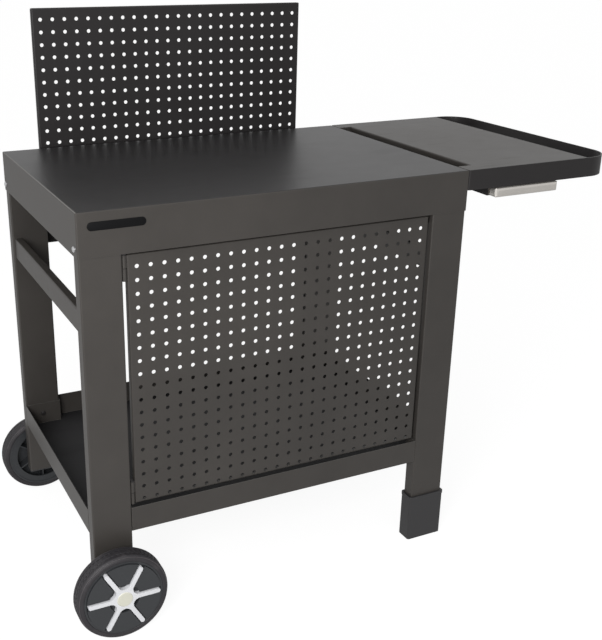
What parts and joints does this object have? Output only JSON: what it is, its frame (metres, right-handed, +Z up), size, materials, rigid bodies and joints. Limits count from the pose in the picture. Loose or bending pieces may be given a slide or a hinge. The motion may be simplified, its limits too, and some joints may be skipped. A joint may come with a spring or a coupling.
{
  "type": "outdoor kitchen trolley",
  "caption": "Folded-steel outdoor kitchen trolley: worktop with perforated splash panel, cabinet with perforated door, tray, wheels, and a side shelf with handle rim and drawer.",
  "frame": {"origin": "on the floor, below the middle of the whole trolley's bounding box", "axes": "+Z up, -Y towards the user at the front with the door, +X towards the side shelf and its handle"},
  "size_m": [1.1944, 0.642, 1.084],
  "materials": {
    "painted_steel": "dark grey powder coat, satin",
    "dark_painted_steel": "near-black powder coat, satin",
    "plain_steel": "bright plated",
    "black_plastic": "moulded, matt",
    "slate_plastic": "moulded, matt",
    "silver_plastic": "silver, satin",
    "grip_plastic": "silver grey, satin",
    "bush_plastic": "plain nylon",
    "tyre_rubber": "matt rubber"
  },
  "bodies": {
    "frame": {"worktop": "painted_steel", "top_stiffener": "painted_steel", "leg_front_left": "painted_steel", "leg_rear_left": "painted_steel", "leg_front_right": "painted_steel", "leg_rear_right": "painted_steel", "leg_plugs": "black_plastic", "left_side_bar": "painted_steel", "right_side_bar": "painted_steel", "bottom_tray": "painted_steel", "foot_front": "black_plastic", "foot_rear": "black_plastic", "axle": "plain_steel", "wheel_spacers": "plain_steel", "axle_retainers": "plain_steel", "splash_panel": "dark_painted_steel", "panel_spacers": "dark_painted_steel", "panel_bolts": "plain_steel", "panel_washers": "plain_steel", "panel_nuts": "plain_steel", "leg_knuckles": "painted_steel", "hinge_pins": "dark_painted_steel", "hinge_washers": "dark_painted_steel", "magnet_catch": "black_plastic", "side_shelf": "painted_steel", "handle_band": "dark_painted_steel", "handle_bolts": "plain_steel", "handle_nuts": "plain_steel", "drawer_housing": "dark_painted_steel", "leg_bolts": "plain_steel", "leg_nuts": "plain_steel", "tray_bolts": "dark_painted_steel"},
    "front_wheel": {"front_tyre": "tyre_rubber", "front_rim": "slate_plastic", "front_hub_bush": "bush_plastic", "front_star_cap": "silver_plastic"},
    "rear_wheel": {"rear_tyre": "tyre_rubber", "rear_rim": "slate_plastic", "rear_hub_bush": "bush_plastic", "rear_star_cap": "silver_plastic"},
    "door": {"door_panel": "painted_steel", "door_knuckles": "painted_steel", "door_strike": "plain_steel"},
    "drawer": {"drawer_tray": "plain_steel", "drawer_grip": "grip_plastic", "drawer_screws": "plain_steel"}
  },
  "joints": [
    {"name": "front_wheel_spin", "type": "hinge", "parent": "frame", "child": "front_wheel", "pos_m": [-0.50975, -0.2965, 0.0875], "axis": [0, 1, 0], "continuous": true},
    {"name": "rear_wheel_spin", "type": "hinge", "parent": "frame", "child": "rear_wheel", "pos_m": [-0.50975, 0.2965, 0.0875], "axis": [0, 1, 0], "continuous": true},
    {"name": "door_swing", "type": "hinge", "parent": "frame", "child": "door", "pos_m": [-0.46725, -0.2555, 0.483], "axis": [0, 0, -1], "range_deg": [0, 100]},
    {"name": "drawer_slide", "type": "slide", "parent": "frame", "child": "drawer", "axis": [0, -1, 0], "range_m": [0, 0.2]}
  ]
}
